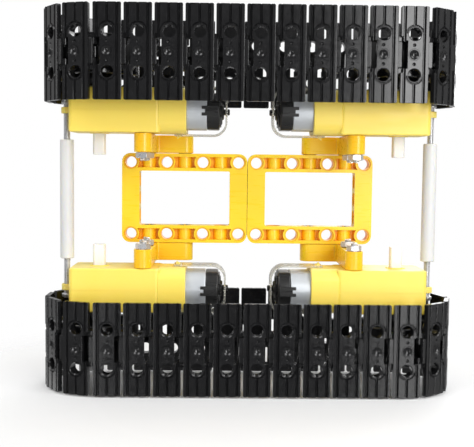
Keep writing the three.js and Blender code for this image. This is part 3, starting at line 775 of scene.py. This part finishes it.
def build_end_cap():
    """The black end cap: stepped, with a forked tongue over the can on both round sides, a bearing
    boss whose tip comes through the strap, and vent slots."""
    end = CAP_END_X
    cap = prism([can_outline(CAN_RADIUS - 0.15, CAN_FLAT - 0.1)], end, CAN_END_X, "yz")
    soften(cap, 0.6, 3)
    inside_can = around(AXLE.z, CAN_RADIUS + 0.03)
    parts = []
    for side in (-1, 1):
        low, high = one_side(side, CAN_RADIUS - 1.2, CAN_RADIUS + 0.45, AXLE.z)
        tongue = motor_block((end + 0.6, CAN_END_X + 2.2), 2.0, (low, high))
        fork = motor_block((CAN_END_X + 0.8, CAN_END_X + 3), 0.7, (low - OVERRUN, high + OVERRUN))
        under = motor_block((CAN_END_X, CAN_END_X + 3), 3, inside_can)
        parts.append(soften(cut(tongue, fork, under), 0.12, 1))
        step = motor_block((end - 0.7, end + 1), 1.9, around(AXLE.z, 6), side * 4.3)
        parts.append(soften(step, 0.25))
    profile = [(0, end + 1), (5.3, end + 1), (5.3, end - 0.8), (5.0, end - 1.1), (3.3, end - 1.1)]
    profile += [(3.1, end - 1.6), (2.8, end - 1.8), (1.3, end - 1.8), (1.3, end - 3.9)]
    profile += [(1.0, end - 4.2), (0, end - 4.2)]
    join(cap, lathe(profile, "x", MOTOR_YZ), *parts)
    slots = []
    for side in (-1, 1):
        for step in (-1, 1):
            z_range = around(AXLE.z + step * 3.2, 1.3)
            slots.append(motor_block((end - 2, end + 1.5), 0.6, z_range, side * 4.3))
    return cut(cap, *slots)


def strap_bend(inset):
    """One face of the strap, from hook to hook round the end cap."""
    half = (STRAP_HIGH.y - STRAP_LOW.y) / 2 - inset
    radius = 6.0 - inset
    high_y = MOTOR_AXIS_Y + half
    low_y = MOTOR_AXIS_Y - half
    centre_x = STRAP_LOW.x + inset + radius
    points = [(STRAP_HIGH.x, high_y)]
    points += arc((centre_x, high_y - radius), radius, 90, 180, 10)
    points += arc((centre_x, low_y + radius), radius, 180, 270, 10)
    return points + [(STRAP_HIGH.x, low_y)]


def build_strap():
    """The clear band round the end cap, with rounded bends, a hole for the cap's boss and a slot
    for the hook at each end."""
    half = (STRAP_HIGH.y - STRAP_LOW.y) / 2
    thickness = 0.8
    boss_hole = 2.0
    slot_half = 2.2
    band = prism([strap_bend(0) + strap_bend(thickness)[::-1]], STRAP_LOW.z, STRAP_HIGH.z)
    cutters = [rod("x", boss_hole, STRAP_LOW.x - 1, STRAP_LOW.x + 2, MOTOR_YZ)]
    for side in (-1, 1):
        low, high = one_side(side, half - 2, half + 1, MOTOR_AXIS_Y)
        slot_low = (SLEEVE_END_X + 1.9, low, AXLE.z - slot_half)
        slot_high = (SLEEVE_END_X + 4.5, high, AXLE.z + slot_half)
        cutters.append(box(slot_low, slot_high))
    cut(band, *cutters)
    return soften(band, 0.15, 2)


def double_d(radius, flat):
    """A round section about the axle with two flats, above and below."""
    limit = math.degrees(math.asin(flat / radius))
    points = arc(AXLE_XZ, radius, -limit, limit, 6)
    return points + arc(AXLE_XZ, radius, 180 - limit, 180 + limit, 6)


def build_shaft():
    """The output shaft: double-D ends with a screw bore, a round middle and the toothed output
    gear inside the casing."""
    radius = 2.7
    flat = 1.85
    bar = prism([double_d(radius, flat)], SHAFT_LOW.y, SHAFT_HIGH.y, "xz")
    soften(bar, 0.3, 2)
    journal = rod("y", radius, GEARBOX_LOW.y + 0.4, GEARBOX_HIGH.y - 0.4, AXLE_XZ)
    teeth = 32
    root, tip = 7.3, 8.15
    outline = []
    for i in range(teeth):
        for reach, share in ((root, -0.3), (tip, -0.12), (tip, 0.12), (root, 0.3)):
            angle = 2 * math.pi * (i + share) / teeth
            outline.append(on_circle(AXLE_XZ, reach, angle))
    gear = prism([outline], GEARBOX_LOW.y + 3.4, GEARBOX_LOW.y + 8, "xz")
    join(bar, journal, gear)
    bore = 0.95
    bore_depth = 7
    bores = [
        rod("y", bore, SHAFT_LOW.y - OVERRUN, SHAFT_LOW.y + bore_depth, AXLE_XZ, 20),
        rod("y", bore, SHAFT_HIGH.y - bore_depth, SHAFT_HIGH.y + OVERRUN, AXLE_XZ, 20),
    ]
    return cut(bar, *bores)


def build_gearmotors():
    corner_pieces(build_gearbox(), "gearbox_casing_{}", GEARBOX, node="gearbox_{}")
    corner_pieces(build_motor_can(), "motor_can_{}", CAN, node="motor_{}")
    corner_pieces(build_end_cap(), "motor_end_cap_{}", CAP)
    corner_pieces(build_strap(), "clear_strap_{}", STRAP, node="motor_strap_{}")
    corner_pieces(build_shaft(), "output_shaft_{}", SHAFT, "drive_{}", "drive_shaft_{}")


# ---------------------------------------------------------------- sprocket


def sprocket_teeth(rim):
    """The toothed disc: each tooth a rounded bump from the rim outwards. A flank point is its
    radius and its share of the step between teeth, measured from the tooth's middle."""
    step = 2 * math.pi / SPROCKET_TEETH
    half_width = 2.3
    flank = [(rim - 0.4, 0.31), (rim + 1, 0.25), (rim + 2.2, 0.16), (rim + 2.6, 0.07)]
    tooth = [(radius, -share) for radius, share in flank] + flank[::-1]
    points = []
    for i in range(SPROCKET_TEETH):
        for radius, share in tooth:
            points.append(on_circle(AXLE_XZ, radius, (i + 0.5 + share) * step))
    return soften(prism([points], *around(AXLE.y, half_width), "xz"), 0.4, 2)


def build_sprocket():
    """The drive wheel: rounded teeth on a drum with lips, a recessed web with bored holes, and a
    hub with a double-D socket and a screw hole."""
    mid_y = AXLE.y
    rim = 16.6
    inside = rim - 2.2
    half = 8.0
    web = 2.0
    lip = 0.4
    hub = 5.6
    hub_low = 47.4
    hub_high = 62.4
    socket_end = 57.0
    screw_hole = 1.3
    head_hole = 3.4
    head_depth = 2.2
    drum = [(hub, -web), (inside, -web), (inside, lip - half), (inside + lip, -half)]
    drum += [(rim - lip, -half), (rim, lip - half)]
    drum += [(radius, -along) for radius, along in reversed(drum)]
    profile = [(0, hub_low), (hub - 0.6, hub_low), (hub, hub_low + 0.5)]
    profile += [(radius, mid_y + along) for radius, along in drum]
    profile += [(hub, hub_high - 0.5), (hub - 0.6, hub_high), (0, hub_high)]
    wheel = join(lathe(profile, "y", AXLE_XZ, 64), sprocket_teeth(rim))
    web_holes = 6
    web_hole_circle = 9.9
    cutters = []
    for i in range(web_holes):
        angle = 2 * math.pi * i / web_holes
        place = on_circle(AXLE_XZ, web_hole_circle, angle)
        cutters.append(bored_hole("y", *around(mid_y, web + 0.3), place))
    cutters.append(prism([double_d(2.9, 2.0)], hub_low - OVERRUN, socket_end, "xz"))
    cutters.append(rod("y", screw_hole, socket_end - 1, hub_high + OVERRUN, AXLE_XZ, 20))
    cutters.append(rod("y", head_hole, hub_high - head_depth, hub_high + OVERRUN, AXLE_XZ))
    cut(wheel, *cutters)
    return soften(wheel, 0.18, 1, 50)


def build_sprockets():
    corner_pieces(build_sprocket(), "toothed_wheel_{}", TRACK, "drive_{}", "sprocket_{}")


# ---------------------------------------------------------------- track


def link_outline(half, side):
    """The plate seen from outside, with a cut-out for the next link's tongue and its hinge ears."""
    corner = 0.55
    chamfer = 0.3 * corner
    ear = 7.0
    ear_depth = 0.9
    slot = 5.4
    slot_end = -2.9
    wing = [(half, 0), (half, side - corner), (half - chamfer, side - chamfer)]
    wing += [(half - corner, side), (corner - half, side), (chamfer - half, side - chamfer)]
    wing += [(-half, side - corner), (-half, ear), (ear_depth - half, ear)]
    wing += [(ear_depth - half, slot), (slot_end, slot)]
    return wing + [(x, -y) for x, y in reversed(wing[1:])]


def groove(x, low, high, top):
    """Cutter for a V-shaped tread groove across the link, with lips that catch the light."""
    lip = 0.16
    half_width = 0.48
    depth = 0.9
    section = [(half_width + 2 * lip, lip), (half_width, -lip), (0.1, -depth)]
    loop = [(x + across, top + up) for across, up in section]
    loop += [(x - across, top + up) for across, up in reversed(section)]
    return prism([loop], low, high, "xz")


def dimple_cutters(top):
    """Cutters for the bowl in the middle of a link, the fine ring round it and the small pit on
    each side of it."""
    rim = 1.95
    depth = 0.95
    steps = 8
    ball = (rim**2 + depth**2) / (2 * depth)
    bowl = []
    for i in range(steps + 1):
        radius = rim * i / steps
        bowl.append((radius, top - depth + ball - math.sqrt(ball**2 - radius**2)))
    bowl += [(rim + 0.2, top + OVERRUN), (0, top + OVERRUN)]
    ring = [(2.1, top + 0.3), (2.25, top - 0.15), (2.35, top - 0.15), (2.6, top + 0.3)]
    cutters = [lathe(profile, "z", (DIMPLE_X, 0), LINK_STEPS) for profile in (bowl, ring)]
    pit = [(0, top - 0.9), (0.35, top - 0.75), (0.85, top + 0.3), (0, top + 0.3)]
    pit_y = 3.75
    cutters += [lathe(pit, "z", (DIMPLE_X, turn * pit_y), 16) for turn in (-1, 1)]
    return cutters


def rim_cutters(turn, top):
    """Cutters for a pin hole, its wide mouth, and the curved groove on its outer side."""
    y = turn * LINK_HOLE_Y
    hole = rod("z", 2.4, -3, top + OVERRUN, (0, y), LINK_STEPS)
    mouth = [(0, top - 0.4), (2.35, top - 0.4), (3.05, top + 0.3), (0, top + 0.3)]
    section = [(2.75, top + 0.2), (3.0, top - 0.1), (3.28, top - 0.7)]
    section += [(3.4, top - 0.7), (3.68, top - 0.1), (3.95, top + 0.2)]
    arch = lathe(section, "z", (0, y), 32)
    low, high = one_side(turn, LINK_HOLE_Y + 0.2, LINK_HOLE_Y + 5)
    common(arch, box((-5, low, top - 1), (5, high, top + 1)))
    return [hole, lathe(mouth, "z", (0, y), LINK_STEPS), arch]


def hinge_parts(turn, under):
    """The hinge on one side of a link: the boss under its pin hole, the ear at its rear edge, and
    the knuckle at its front edge with the peg that turns in the next link's ear."""
    hinge = LINK_PITCH / 2
    barrel = 1.85
    ear = one_side(turn, 5.35, 7.3)
    knuckle = one_side(turn, 2.85, 5.15)
    peg = one_side(turn, 5.0, 6.6)
    return [
        rod("z", 3.35, -1.35, under + 0.5, (0, turn * LINK_HOLE_Y), LINK_STEPS),
        rod("y", barrel, *ear, (-hinge, 0), 20),
        box((-hinge, ear[0], 0.2), (0, ear[1], barrel)),
        box((-hinge + 0.6, ear[0], -1.2), (2.0, ear[1], 1.6)),
        rod("y", barrel, *knuckle, (hinge, 0), 20),
        box((1.5, knuckle[0], -1.2), (hinge - 0.6, knuckle[1], 1.8)),
        box((hinge - 1.8, knuckle[0], 0), (hinge + 1.0, knuckle[1], 2.2)),
        rod("y", PEG_RADIUS, *peg, (hinge, 0), 14),
    ]


def build_link():
    """One link with its outer face up. The origin is midway between its two hinge lines, and its
    tongue points along +X."""
    half = (LINK_PITCH - LINK_GAP) / 2
    side = LINK_WIDTH / 2
    top = LINK_TREAD
    under = top - LINK_PLATE
    tongue = 5.1
    tongue_end = 7.35
    recess = 0.45
    plate = soften(prism([link_outline(half, side)], under, top), 0.16, 2)
    tongue_shape = rounded_rectangle((half - 1.5, -tongue), (tongue_end, tongue), 0.4, 3)
    parts = [soften(prism([tongue_shape], under + 0.1, top - recess), 0.3, 3)]
    for turn in (-1, 1):
        parts += hinge_parts(turn, under)
    join(plate, *parts)
    cutters = dimple_cutters(top)
    for turn in (-1, 1):
        cutters += rim_cutters(turn, top)
        for x, start in ((-4.1, 5.2), (-0.1, 11.3), (3.75, 0)):
            cutters.append(groove(x, *one_side(turn, start, side + OVERRUN), top))
        socket = one_side(turn, 5.0, 6.8)
        cutters.append(rod("y", PEG_RADIUS + 0.1, *socket, (-LINK_PITCH / 2, 0), 14))
    cut(plate, *cutters)
    return soften(plate, 0.08, 1, 50)


def front_half_step():
    """Half the angle between hinges round the front sprocket, where one link more has to fit
    between the same two runs. Found by halving an interval."""
    low = math.pi / (4 * FRONT_LINKS)
    high = math.pi / (FRONT_LINKS + 2)
    wanted = 1 / math.sin(math.pi / SPROCKET_TEETH)
    for _ in range(60):
        middle = (low + high) / 2
        if math.sin(FRONT_LINKS * middle) / math.sin(middle) > wanted:
            low = middle
        else:
            high = middle
    return (low + high) / 2


def hinge_centres():
    """The loop's hinge centres in X and Z, from the bottom under the rear sprocket forwards."""
    step = front_half_step()
    radius = LINK_PITCH / (2 * math.sin(step))
    overhang = -radius * math.cos(FRONT_LINKS * step)
    points = [(-AXLE.x + i * LINK_PITCH, AXLE.z - PIVOT_RADIUS) for i in range(RUN_LINKS)]
    for i in range(FRONT_LINKS):
        points.append(on_circle(AXLE_XZ, radius, (2 * i - FRONT_LINKS) * step))
    for i in range(RUN_LINKS):
        points.append((AXLE.x - overhang - i * LINK_PITCH, AXLE.z + PIVOT_RADIUS))
    for i in range(REAR_LINKS):
        angle = math.pi / 2 + math.pi * i / REAR_LINKS
        points.append(on_circle((-AXLE.x, AXLE.z), PIVOT_RADIUS, angle))
    return points


def link_matrix(start, end, centre_y, tongue_forward):
    """Where a link lies between two hinges: local X along its tongue, local Z outwards."""
    along = Vector((end[0] - start[0], 0, end[1] - start[1])).normalized()
    outward = Vector((along.z, 0, -along.x))
    local_x = along if tongue_forward else -along
    local_y = outward.cross(local_x)
    matrix = Matrix((local_x, local_y, outward)).transposed().to_4x4()
    middle = Vector(((start[0] + end[0]) / 2, centre_y, (start[1] + end[1]) / 2))
    return Matrix.Translation(middle) @ matrix


def build_tracks():
    """Both tracks, link by link. All the links share one mesh."""
    master = build_link()
    master.data.transform(Matrix.Scale(MM, 4))
    points = hinge_centres()
    for side, left, tongue_forward in (("left", 1, False), ("right", -1, True)):
        for i, start in enumerate(points):
            end = points[(i + 1) % len(points)]
            matrix = link_matrix(start, end, left * AXLE.y, tongue_forward)
            matrix.translation *= MM
            link = add_object("link", master.data)
            link.matrix_world = matrix
            name = f"track_link_{side}_{i + 1:02d}"
            finish_piece(link, name, "chassis", TRACK, [f"track_{side}"])
    bpy.data.objects.remove(master)


# ---------------------------------------------------------------- fasteners


def threaded_shank(low, high, radius, pitch, centre):
    """A bar along Y with a real helical thread."""
    bm = bmesh.new()
    steps = 20
    depth = 0.52139 * pitch  # a little shallower than a real thread, which is 0.61 of its pitch
    profile = ((0.0, radius - depth), (0.42, radius), (0.58, radius))
    rows = []
    for i in range(int((high - low) / pitch) * steps + 1):
        row = []
        for share, reach in profile:
            along = min(high, low + (i / steps + share) * pitch)
            a, b = on_circle(centre, reach, 2 * math.pi * i / steps)
            row.append(bm.verts.new((a, along, b)))
        rows.append(row)
    for first, second in zip(rows, rows[1:]):
        for j in range(2):
            bm.faces.new((first[j], first[j + 1], second[j + 1], second[j]))
    last = len(rows) - 1
    for i in range(last - steps):
        bm.faces.new((rows[i][2], rows[i + 1][2], rows[i + 1 + steps][0], rows[i + steps][0]))
    first_ring = [row[0] for row in rows[: steps + 1]]
    last_ring = [row[2] for row in rows[last - steps :]]
    near = bm.verts.new((centre[0], low, centre[1]))
    far = bm.verts.new((centre[0], high, centre[1]))
    for i in range(steps):
        bm.faces.new((first_ring[i], first_ring[i + 1], near))
        bm.faces.new((last_ring[i], last_ring[i + 1], far))
    bm.faces.new((first_ring[0], rows[0][1], rows[0][2], first_ring[-1], near))
    bm.faces.new((last_ring[-1], rows[last][1], rows[last][0], last_ring[0], far))
    return to_object("thread", bm)


def pan_head(seat, radius, height, centre):
    """A domed head along +Y from its seat, with a cross recess."""
    steps = 7
    side_height = 0.45
    arm_reach = 1.25
    arm_half = 0.3
    recess = 1.0
    top = seat + height
    profile = [(0, seat), (radius - 0.12, seat), (radius, seat + 0.15)]
    for i in range(1, steps):
        angle = math.pi / 2 * i / steps
        along = seat + side_height + (height - side_height) * math.sin(angle)
        profile.append((radius * math.cos(angle) ** 0.6, along))
    head = lathe(profile + [(0, top)], "y", centre, 32)
    arms = []
    for turn in (0, 90):
        arm = box((-arm_reach, top - recess, -arm_half), (arm_reach, top + OVERRUN, arm_half))
        arm.data.transform(Matrix.Rotation(math.radians(turn), 4, "Y"))
        arm.data.transform(Matrix.Translation((centre[0], 0, centre[1])))
        arms.append(arm)
    return cut(head, *arms)


def build_screw(low, high, head_radius):
    """A pan-head screw along Y from its CAD box, head outwards."""
    centre = centre_xz(low, high)
    head_height = 1.9
    shank_radius = 1.45
    pitch = 0.5
    seat = high.y - head_height
    shank = threaded_shank(low.y, seat + 0.3, shank_radius, pitch, centre)
    return join(pan_head(seat, head_radius, head_height, centre), shank)


def build_nut(low, high):
    """A hex nut along Y with chamfered corners and a clear, chamfered bore."""
    centre = centre_xz(low, high)
    radius = (high.x - low.x) / 2
    flats = radius * math.cos(math.pi / 6) * 0.99
    outer = radius + 0.02
    bore, mouth = 1.55, 2.3
    nut = prism([circle(centre, radius, 6)], low.y, high.y, "xz")
    body = [(0, 0), (flats, 0), (outer, 0.35)]
    common(nut, lathe(both_ends(body, low.y, high.y), "y", centre, 36))
    hole = [(0, -OVERRUN), (mouth, -0.2), (bore, 0.45)]
    cut(nut, lathe(both_ends(hole, low.y, high.y), "y", centre, 24))
    return soften(nut, 0.06, 1)


def build_fasteners():
    for level in ("upper", "lower"):
        screw = build_screw(*cad_mm(f"motor_screw_front_left_{level}"), 2.7)
        node = "motor_screw_{}_" + level
        corner_pieces(screw, "threaded_screw_{}_" + level, CHROME, node=node)
        nut = build_nut(*cad_mm(f"motor_nut_front_left_{level}"))
        node = "motor_nut_{}_" + level
        corner_pieces(nut, "hex_nut_{}_" + level, CHROME, node=node)
    screw = build_screw(*cad_mm("spacer_screw_front_left"), 2.3)
    corner_pieces(screw, "tube_screw_{}", CHROME, node="spacer_screw_{}")


def build_spacer_tubes():
    """The white tubes across both ends, with chamfered ends and a bore for the screws."""
    bore, mouth, face, outside = 1.55, 1.9, 2.65, 2.9
    profile = [(bore, 0.4), (mouth, 0), (face, 0), (outside, 0.25)]
    for end in ("front", "rear"):
        node = f"spacer_tube_{end}"
        low, high = cad_mm(node)
        tube = lathe(both_ends(profile, low.y, high.y), "y", centre_xz(low, high), 40)
        tube.data.transform(Matrix.Scale(MM, 4))
        finish_piece(tube, f"tube_across_{end}", "chassis", SPACER, [node])


# ---------------------------------------------------------------- stage, light and camera


def math_node(tree, operation, first, second):
    """The result of a sum, product or test of two values."""
    return add_node(tree, "Math", {0: first, 1: second}, operation=operation)


def one_sided_material(name, colour, seen_from_above, fade):
    """A plain surface that only the camera sees, and from one side only, so that it blocks no
    light. It ends softly between the two fade distances from the middle."""
    material, tree = node_material(name)
    grain = ramp(tree, add_noise(tree, 60, 4.0), 0.0, 0.4)
    darker = tuple(channel * 0.985 for channel in colour)
    set_surface(tree, {"Base Color": mix_colour(tree, grain, colour, darker), "Roughness": 0.75})
    incoming = add_node(tree, "NewGeometry", {}, "Incoming")
    height = add_node(tree, "SeparateXYZ", {"Vector": incoming}, "Z")
    if seen_from_above:
        share = math_node(tree, "GREATER_THAN", height, 0.0)
    else:
        share = math_node(tree, "LESS_THAN", height, -0.5)
    camera_ray = add_node(tree, "LightPath", {}, "Is Camera Ray")
    share = math_node(tree, "MULTIPLY", share, camera_ray)
    position = add_node(tree, "NewGeometry", {}, "Position")
    distance = add_node(tree, "VectorMath", {0: position}, "Value", operation="LENGTH")
    share = math_node(tree, "MULTIPLY", share, ramp(tree, distance, 1.0, 0.0, *fade))
    clear = add_node(tree, "BsdfTransparent", {})
    solid = tree.nodes["Principled BSDF"].outputs["BSDF"]
    mix = add_node(tree, "MixShader", {0: share, 1: clear, 2: solid})
    tree.links.new(mix, tree.nodes["Material Output"].inputs["Surface"])
    return material


def add_stage_sheet(name, corners, material):
    bm = bmesh.new()
    bm.faces.new([bm.verts.new(corner) for corner in corners])
    mesh = bpy.data.meshes.new(name)
    bm.to_mesh(mesh)
    bm.free()
    mesh.materials.append(material)
    add_object(name, mesh)


def build_stage():
    """A pale floor under the tracks, which only shows from above, and a pale sheet beside the left
    track, which only shows from below, where the chassis stands on its side."""
    size = 3.0
    ground = -0.0005
    wall_y = CAD_BOUNDS[1][1] + 0.0006
    square = [(-size, -size), (size, -size), (size, size), (-size, size)]
    floor = one_sided_material("floor", (0.86, 0.86, 0.86), True, (0.14, 0.6))
    add_stage_sheet("floor", [(x, y, ground) for x, y in square], floor)
    sheet = one_sided_material("side sheet", (0.9, 0.9, 0.9), False, (0.1, 0.19))
    add_stage_sheet("side_sheet", [(x, wall_y, z) for x, z in square], sheet)


def add_area_light(name, place, size, power, target=None, glossy=True):
    """A rectangular light. Without a target it faces straight up, its size along X and Y."""
    light = bpy.data.lights.new(name, "AREA")
    light.shape = "RECTANGLE"
    light.size, light.size_y = size
    light.energy = power
    obj = add_object(name, light)
    obj.location = place
    obj.rotation_euler = (math.pi, 0, 0)
    if target:
        aim = Vector(target) - Vector(place)
        obj.rotation_euler = aim.to_track_quat("-Z", "Y").to_euler()
    obj.visible_glossy = glossy
    obj.visible_camera = False


def build_world():
    """White to the camera; as a light, bright above and at the sides and darker below."""
    world = bpy.data.worlds.new("studio")
    bpy.context.scene.world = world
    world.use_nodes = True
    tree = world.node_tree
    tree.nodes.clear()
    direction = add_node(tree, "TexCoord", {}, "Generated")
    height = add_node(tree, "SeparateXYZ", {"Vector": direction}, "Z")
    below, above = 0.11, 0.66
    strength = ramp(tree, height, below, above, -0.95, 0.1)
    light = add_node(tree, "Background", {"Strength": strength})
    white = add_node(tree, "Background", {"Color": (1, 1, 1)})
    camera_ray = add_node(tree, "LightPath", {}, "Is Camera Ray")
    mix = add_node(tree, "MixShader", {0: camera_ray, 1: light, 2: white})
    output = tree.nodes.new("ShaderNodeOutputWorld")
    tree.links.new(mix, output.inputs["Surface"])


def build_lights():
    """Soft light from both sides of the deck. The panels under the front shine off the last flat
    links of the two tracks, and the rear panel off the first ones, as in the photograph."""
    middle = (0, 0, 0.025)
    add_area_light("belly fill", (0.0, -0.15, -0.9), (1.6, 1.6), 5.0, glossy=False)
    add_area_light("belly panel right", (0.392, -0.2, -0.8), (0.38, 0.5), 4.8)
    add_area_light("belly panel left", (0.392, 0.28, -0.8), (0.38, 0.46), 1.4)
    add_area_light("belly rear panel", (-0.37, 0.36, -0.8), (0.36, 0.5), 1.3)
    add_area_light("belly left", (-0.55, -0.75, -0.4), (0.55, 0.55), 4.0, middle)
    add_area_light("belly right", (0.6, -0.65, -0.4), (0.55, 0.55), 4.0, middle)
    add_area_light("top key", (0.4, -0.5, 1.0), (0.9, 0.9), 6.5, middle)
    add_area_light("top fill", (-0.7, 0.6, 0.8), (0.9, 0.9), 3.2, middle)


def build_camera():
    """The photograph's view: from under the belly, a little behind and to the right."""
    place = Vector((-0.0112, -0.0166, -0.3429))
    forward = Vector((0.01746, 0.07152, 0.99729))
    right = Vector((0.99980, -0.01144, -0.01669))
    right = (right - right.dot(forward) * forward).normalized()
    forward.normalize()
    up = right.cross(forward)
    camera = bpy.data.cameras.new("camera")
    camera.lens = 65.6
    camera.sensor_width = 36.0
    camera.clip_start = 0.01
    obj = add_object("camera", camera)
    matrix = Matrix((right, up, -forward)).transposed().to_4x4()
    matrix.translation = place
    obj.matrix_world = matrix
    bpy.context.scene.camera = obj


# ---------------------------------------------------------------- all together

bpy.context.scene.view_settings.view_transform = "Standard"
build_deck()
build_pins()
build_brackets()
build_gearmotors()
build_sprockets()
build_tracks()
build_fasteners()
build_spacer_tubes()
build_stage()
build_world()
build_lights()
build_camera()
